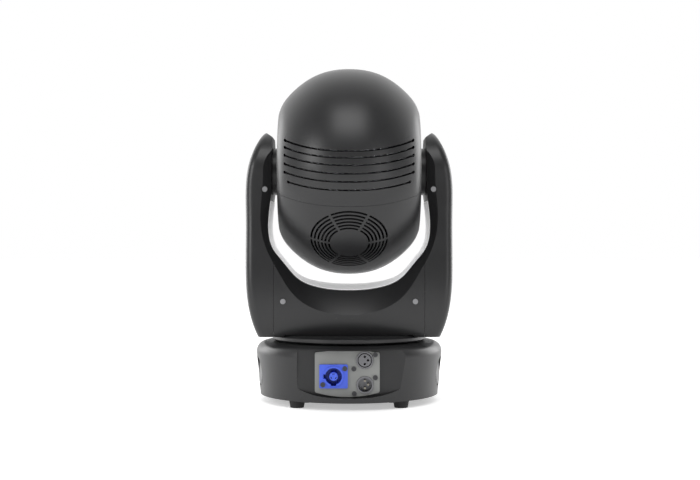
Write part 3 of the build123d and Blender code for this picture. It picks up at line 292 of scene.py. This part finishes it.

# %% [markdown]
# ## Painted reflection inside the yoke
#
# A pale strip lines the inside of the yoke's U, under the head. Its white is a painted reflection
# of the white sweep, as the black cover's inner face mirrors it at a grazing angle. It is a thin
# surface carried along the U. The U's line is lower at the front and back rims than in the middle,
# so the strip is crowned. It is worked out on a grid, then laid on the cover by a Shrinkwrap, which
# keeps it the same small height above the moulding. First comes the smooth line that it is carried
# along.


# %% Line through points
def smooth_line(points, samples):
    """A Hermite curve through the points: each piece blends its two ends and their slopes, where a
    slope is the chord between a point's neighbours."""
    points = np.array(points, float)
    slopes = np.gradient(points, axis=0)
    at = np.linspace(0, len(points) - 1 - 1e-9, samples)
    piece = at.astype(int)
    t = (at - piece)[:, None]
    start, end = points[piece], points[piece + 1]
    rise, fall = slopes[piece], slopes[piece + 1]
    return ((2 * t**3 - 3 * t**2 + 1) * start + (t**3 - 2 * t**2 + t) * rise
            + (3 * t**2 - 2 * t**3) * end + (t**3 - t**2) * fall)


print("through its points", smooth_line([(0, 0), (1, 1), (2, 0)], 3).round(3).tolist())

# %% [markdown]
# The two lines below give the U in millimetres, as distance from the middle and height, from one
# arm down to the middle. Their other halves are mirrored. The strip is made a few millimetres
# inside the gap, so that the outer skin of the cover is nearer to it than the inner one. Its white
# is a painted reflection, and a little emission is painted light that makes it brighter still.

# %% Painted reflection strip on a grid
STRIP_HALF_DEPTH = 38.0
RIM_HALF_DEPTH = 43.0
INTO_GAP = 4.0
HEAD_AXIS = np.array([0, 265])
STEPS_ALONG = 161
STEPS_ACROSS = 41
ABOVE_COVER = 0.0005
SKIN_THICKNESS = 0.0004
STRIP_PAINTED_GLOW = 0.22

rim = [(88, 228), (87.3, 176), (75.5, 160.6), (57, 139.5), (33.5, 129.6), (0, 126.2)]
crest = [(88, 228), (87.5, 178), (77, 163), (58, 144.5), (34, 136.5), (0, 134)]
mirror = np.array([-1, 1])
rim += [tuple(point * mirror) for point in np.array(rim[-2::-1])]
crest += [tuple(point * mirror) for point in np.array(crest[-2::-1])]


def grid_mesh(name, corners):
    """A piece made of quads on a grid of points."""
    rows, columns = corners.shape[:2]
    index = np.arange(rows * columns).reshape(rows, columns)
    quads = np.stack([index[:-1, :-1], index[1:, :-1], index[1:, 1:], index[:-1, 1:]], axis=-1)
    mesh = bpy.data.meshes.new(name)
    mesh.from_pydata(corners.reshape(-1, 3).tolist(), [], quads.reshape(-1, 4).tolist())
    mesh.shade_smooth()
    piece = bpy.data.objects.new(name, mesh)
    bpy.context.collection.objects.link(piece)
    return piece


def reflection_strip_surface(along, across):
    """The U's line at each depth: the crest's line, moved to the rim's with the depth squared, then
    moved towards the head's axis."""
    depth = np.linspace(-STRIP_HALF_DEPTH, STRIP_HALF_DEPTH, across)
    share = ((depth / RIM_HALF_DEPTH) ** 2)[None, :, None]
    top, low = smooth_line(crest, along)[:, None], smooth_line(rim, along)[:, None]
    line = top * (1 - share) + low * share
    inwards = HEAD_AXIS - line
    line = line + INTO_GAP * inwards / np.linalg.norm(inwards, axis=-1, keepdims=True)
    y = np.broadcast_to(depth[None, :], line.shape[:2])
    return np.stack([line[..., 0], y, line[..., 1]], axis=-1) / 1000


# The strip is a painted reflection: a pale sheet laid on the black cover's inner face.
reflection_strip = grid_mesh("yoke_painted_reflection", reflection_strip_surface(STEPS_ALONG, STEPS_ACROSS))
wrap = reflection_strip.modifiers.new("laid on the cover", "SHRINKWRAP")
wrap.target = frame["nodes"]["saddle_cover"]
wrap.wrap_method = "NEAREST_SURFACEPOINT"
wrap.wrap_mode = "ABOVE_SURFACE"
wrap.offset = ABOVE_COVER
skin = reflection_strip.modifiers.new("skin", "SOLIDIFY")
skin.thickness = SKIN_THICKNESS
skin.offset = 0
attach(reflection_strip, "yoke")
# The strip's white colour is a painted reflection of the white sweep on the black cover.
painted_reflection_white, tree, shader = start_material(
    "painted reflection white", Base_Color=linear("#f4f4f5"), IOR=1.5)
grain(tree, shader, spacing_mm=0.8, height_mm=0.005, roughness=0.4, spread=0.03, lift=1.04)
# Painted light: the strip glows a little, though it is no lamp.
glow(shader, STRIP_PAINTED_GLOW)
reflection_strip.data.materials.append(painted_reflection_white)
print("reflection_strip", len(reflection_strip.data.polygons), "faces")

# %% [markdown]
# ## Dress the pieces
#
# The record names a material slot for each piece of the frame. Each piece takes its slot's finish.

# %% Dress the pieces of the frame
slot_of = {part["node"]: part["material_slot"] for part in frame["record"]["subparts"]}
for node_name, piece in frame["nodes"].items():
    piece.data.materials.clear()
    piece.data.materials.append(materials[slot_of[node_name]])
print(len(slot_of), "pieces dressed")

# %% [markdown]
# ## Floor
#
# The light stands on a white acrylic table lit from below, as in a product studio, so
# only a faint shadow shows under the feet and the table runs into the white behind without an edge.

# %% Floor
FLOOR_SIDE = 20
FLOOR_GLOW = 0.42

bpy.ops.mesh.primitive_plane_add(size=FLOOR_SIDE, location=(0, 0, 0))
floor = bpy.context.object
floor.name = "floor"
pale, tree, shader = start_material("lit white acrylic", Base_Color=linear("#f2f2f2"))
glow(shader, FLOOR_GLOW)
grain(tree, shader, spacing_mm=3.0, height_mm=0.01, roughness=0.85, spread=0.05, lift=1.05)
floor.data.materials.append(pale)
print("floor", FLOOR_SIDE, "m wide")
